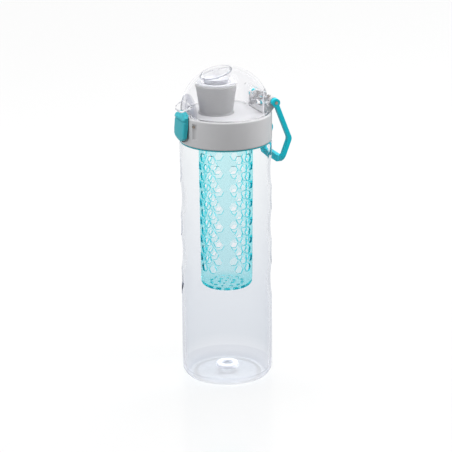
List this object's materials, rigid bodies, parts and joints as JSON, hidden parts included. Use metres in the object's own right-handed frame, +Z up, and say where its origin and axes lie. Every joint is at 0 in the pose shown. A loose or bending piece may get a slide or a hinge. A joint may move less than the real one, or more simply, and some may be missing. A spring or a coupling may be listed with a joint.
{
  "type": "fruit infuser water bottle",
  "caption": "Clear honeycomb-dimpled water bottle with a perforated teal infuser, grey screw lid, drinking spout under a clear flip dome, push latch and swinging handle.",
  "frame": {"origin": "centre of the standing ring under the bottle, on the floor", "axes": "+Z up along the bottle's axis; the latch is at -X, the hinge and handle at +X"},
  "size_m": [0.0876, 0.073, 0.2564],
  "materials": {
    "clear_copolyester": "clear, polished mould",
    "teal_copolyester": "tinted, see-through",
    "clear_silicone": "milky, soft",
    "grey_polypropylene": "satin moulded",
    "teal_polypropylene": "semi-gloss moulded",
    "stainless_steel": "drawn wire and rod"
  },
  "bodies": {
    "bottle": {"bottle_body": "clear_copolyester"},
    "infuser": {"infuser_basket": "teal_copolyester"},
    "gasket": {"rim_seal": "clear_silicone"},
    "lid": {"lid_shell": "grey_polypropylene", "lid_liner": "teal_polypropylene", "drinking_spout": "grey_polypropylene", "spout_seal": "clear_silicone", "hinge_pin": "stainless_steel", "dome_spring": "stainless_steel", "latch_pin": "stainless_steel", "latch_spring": "stainless_steel"},
    "dome": {"dome_cover": "clear_copolyester", "spout_stopper": "clear_silicone"},
    "latch": {"latch_button": "teal_polypropylene"},
    "handle": {"carry_handle": "teal_polypropylene"}
  },
  "joints": [
    {"name": "infuser_lift", "type": "slide", "parent": "bottle", "child": "infuser", "axis": [0, 0, 1], "range_m": [0, 0.14]},
    {"name": "lid_rise", "type": "slide", "parent": "infuser", "child": "gasket", "axis": [0, 0, 1], "range_m": [0, 0.0075]},
    {"name": "lid_turn", "type": "hinge", "parent": "gasket", "child": "lid", "pos_m": [0, 0, 0.2085], "axis": [0, 0, 1], "range_deg": [0, 450]},
    {"name": "dome_hinge", "type": "hinge", "parent": "lid", "child": "dome", "pos_m": [0.0345, 0, 0.228], "axis": [0, 1, 0], "range_deg": [0, 110]},
    {"name": "latch_press", "type": "hinge", "parent": "lid", "child": "latch", "pos_m": [-0.0326, 0, 0.2143], "axis": [0, -1, 0], "range_deg": [0, 7.5], "stiffness_Nm_per_rad": 0.02, "springref_deg": -2.86, "deforming": ["latch_spring"]},
    {"name": "handle_swing", "type": "hinge", "parent": "lid", "child": "handle", "pos_m": [0.0345, 0, 0.228], "axis": [0, 1, 0], "range_deg": [-175, 0]}
  ],
  "couplings": [
    {"joint": "lid_turn", "follows": "lid_rise", "rad_per_m": 1047.2}
  ]
}
